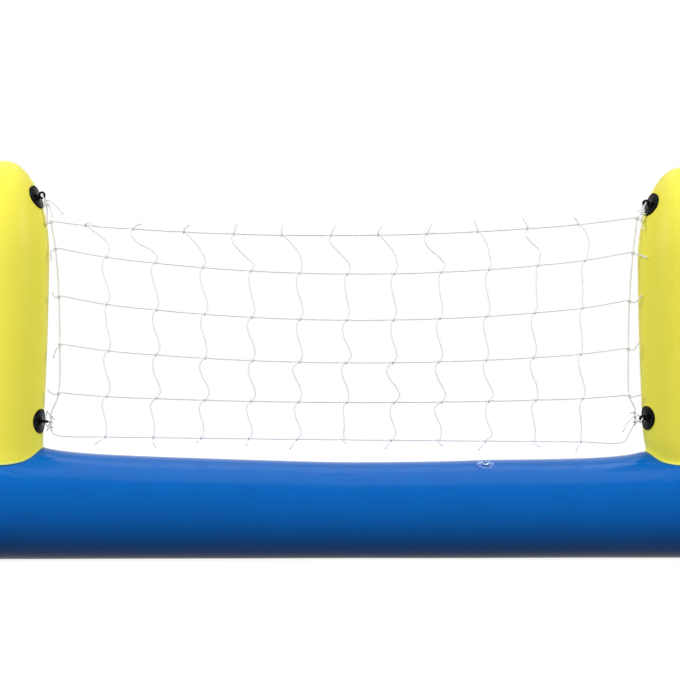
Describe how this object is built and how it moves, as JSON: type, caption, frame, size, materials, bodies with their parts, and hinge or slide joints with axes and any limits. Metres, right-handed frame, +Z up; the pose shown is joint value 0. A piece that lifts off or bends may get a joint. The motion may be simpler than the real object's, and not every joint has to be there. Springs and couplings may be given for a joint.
{
  "type": "volleyball net on poles",
  "caption": "Inflatable volleyball set: knotted cord net between two air-filled posts welded on a long floor tube with cross floats, with rope patches and air valves.",
  "frame": {"origin": "centre of the footprint, on the floor", "axes": "+X along the net and floor tube, to the right as seen from the front; +Y to the back; +Z up"},
  "size_m": [2.39, 0.64, 0.903],
  "materials": {
    "blue_vinyl": "glossy heat-welded vinyl film",
    "yellow_vinyl": "glossy heat-welded vinyl film",
    "black_vinyl": "moulded soft vinyl",
    "clear_vinyl": "clear moulded soft vinyl",
    "net_cord": "twisted polyethylene cord"
  },
  "bodies": {
    "set": {"base_tube": "blue_vinyl", "left_float": "blue_vinyl", "right_float": "blue_vinyl", "left_post": "yellow_vinyl", "right_post": "yellow_vinyl", "upper_left_patch": "black_vinyl", "upper_right_patch": "black_vinyl", "lower_left_patch": "black_vinyl", "lower_right_patch": "black_vinyl", "base_valve": "clear_vinyl", "left_valve": "clear_vinyl", "right_valve": "clear_vinyl", "head_line": "net_cord", "mesh_line_1": "net_cord", "mesh_line_2": "net_cord", "mesh_line_3": "net_cord", "mesh_line_4": "net_cord", "foot_line": "net_cord", "drop_cord_1": "net_cord", "drop_cord_2": "net_cord", "drop_cord_3": "net_cord", "drop_cord_4": "net_cord", "drop_cord_5": "net_cord", "drop_cord_6": "net_cord", "drop_cord_7": "net_cord", "drop_cord_8": "net_cord", "drop_cord_9": "net_cord", "drop_cord_10": "net_cord", "drop_cord_11": "net_cord", "left_side_line": "net_cord", "right_side_line": "net_cord", "upper_left_tie": "net_cord", "upper_right_tie": "net_cord", "lower_left_tie": "net_cord", "lower_right_tie": "net_cord"},
    "base_stem_part": {"base_stem": "clear_vinyl"},
    "base_plug_part": {"base_plug": "clear_vinyl"},
    "left_stem_part": {"left_stem": "clear_vinyl"},
    "left_plug_part": {"left_plug": "clear_vinyl"},
    "right_stem_part": {"right_stem": "clear_vinyl"},
    "right_plug_part": {"right_plug": "clear_vinyl"}
  },
  "joints": [
    {"name": "base_stem_slide", "type": "slide", "parent": "set", "child": "base_stem_part", "axis": [0, -0.3907, 0.9205], "range_m": [0, 0.013]},
    {"name": "base_plug_pull", "type": "slide", "parent": "base_stem_part", "child": "base_plug_part", "axis": [0, -0.3907, 0.9205], "range_m": [0, 0.014]},
    {"name": "left_stem_slide", "type": "slide", "parent": "set", "child": "left_stem_part", "axis": [0, 1, 0], "range_m": [0, 0.013]},
    {"name": "left_plug_pull", "type": "slide", "parent": "left_stem_part", "child": "left_plug_part", "axis": [0, 1, 0], "range_m": [0, 0.014]},
    {"name": "right_stem_slide", "type": "slide", "parent": "set", "child": "right_stem_part", "axis": [0, 1, 0], "range_m": [0, 0.013]},
    {"name": "right_plug_pull", "type": "slide", "parent": "right_stem_part", "child": "right_plug_part", "axis": [0, 1, 0], "range_m": [0, 0.014]}
  ]
}
